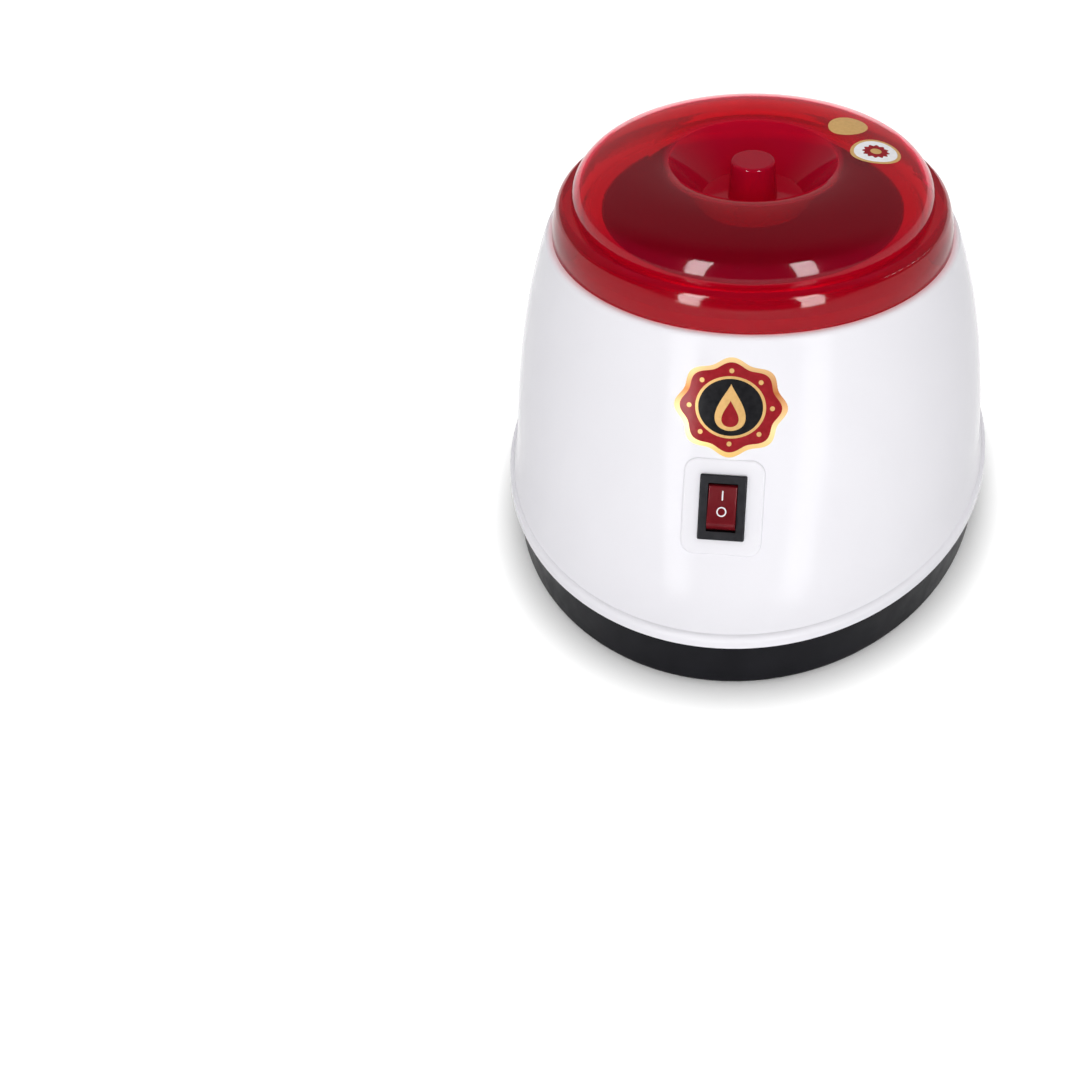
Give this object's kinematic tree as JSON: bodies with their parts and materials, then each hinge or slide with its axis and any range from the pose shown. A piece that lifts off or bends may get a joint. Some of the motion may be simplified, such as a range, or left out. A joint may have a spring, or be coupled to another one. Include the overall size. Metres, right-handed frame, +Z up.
{
  "type": "wax heater",
  "caption": "Oval table-top wax heater: flared white body on a black base, round red see-through lid with a sunk knob, removable heated pot inside, and a lit rocker switch on the front.",
  "frame": {"origin": "on the surface it stands on, under the lid's axis, which is the middle of the oval base", "axes": "+Z up; -Y towards the front, where the switch is; +X to the right as seen from the front"},
  "size_m": [0.166, 0.237, 0.1318],
  "materials": {
    "white_plastic": "glossy moulded white plastic",
    "black_plastic": "satin moulded black plastic",
    "red_plastic": "glossy see-through red plastic",
    "black_rubber": "matt black rubber",
    "silicone": "matt grey silicone",
    "aluminium": "spun aluminium",
    "dark_coating": "dark non-stick coat on aluminium",
    "zinc_steel": "zinc-plated steel",
    "brass": "plain brass",
    "mica": "mica sheet with heating wire inside",
    "bakelite": "matt brown-black bakelite",
    "glass_sleeve": "woven glass-fibre sleeve",
    "switch_plastic": "satin black nylon",
    "rocker_plastic": "glossy dark red see-through plastic",
    "nylon": "natural nylon",
    "lamp_glass": "clear glass",
    "live_sleeve": "red insulated wire",
    "neutral_sleeve": "black insulated wire",
    "earth_sleeve": "green insulated wire"
  },
  "bodies": {
    "housing": {"body_shell": "white_plastic", "base_tray": "black_plastic", "rubber_feet": "black_rubber", "base_screws": "zinc_steel", "heater_well": "aluminium", "well_gasket": "silicone", "well_stud": "zinc_steel", "stud_nuts": "zinc_steel", "well_bridge": "zinc_steel", "bridge_screws": "zinc_steel", "earth_tag": "brass", "band_heater": "mica", "heater_clamp": "zinc_steel", "clamp_screw": "zinc_steel", "thermostat": "bakelite", "well_small_studs": "zinc_steel", "small_nuts": "zinc_steel", "thermal_fuse": "glass_sleeve", "fuse_clip": "zinc_steel", "switch_housing": "switch_plastic", "switch_terminals": "brass", "cord_gland": "black_rubber", "cord_saddle": "black_plastic", "saddle_screws": "zinc_steel", "terminal_block": "nylon", "block_clamp_screws": "zinc_steel", "block_screws": "zinc_steel", "live_lead": "live_sleeve", "switch_lead": "live_sleeve", "heater_lead": "live_sleeve", "fuse_feed": "neutral_sleeve", "neutral_lead": "neutral_sleeve", "earth_lead": "earth_sleeve"},
    "rocker": {"rocker": "rocker_plastic", "rocker_plunger": "nylon", "plunger_spring": "zinc_steel", "neon_lamp": "lamp_glass"},
    "contact": {"switch_contact": "brass"},
    "pot": {"wax_pot": "dark_coating"},
    "lid": {"lid": "red_plastic"}
  },
  "joints": [
    {"name": "rocker_switch", "type": "hinge", "parent": "housing", "child": "rocker", "pos_m": [0, -0.09042, 0.05346], "axis": [1, 0, 0], "range_deg": [0, 24]},
    {"name": "contact_rock", "type": "hinge", "parent": "housing", "child": "contact", "pos_m": [0, -0.08514, 0.05052], "axis": [1, 0, 0], "range_deg": [-14.4, 0]},
    {"name": "pot_lift", "type": "slide", "parent": "housing", "child": "pot", "axis": [0, 0, 1], "range_m": [0, 0.082]},
    {"name": "lid_lift", "type": "slide", "parent": "pot", "child": "lid", "axis": [0, 0, 1], "range_m": [0, 0.06]}
  ],
  "couplings": [
    {"joint": "contact_rock", "follows": "rocker_switch", "ratio": -0.6}
  ]
}
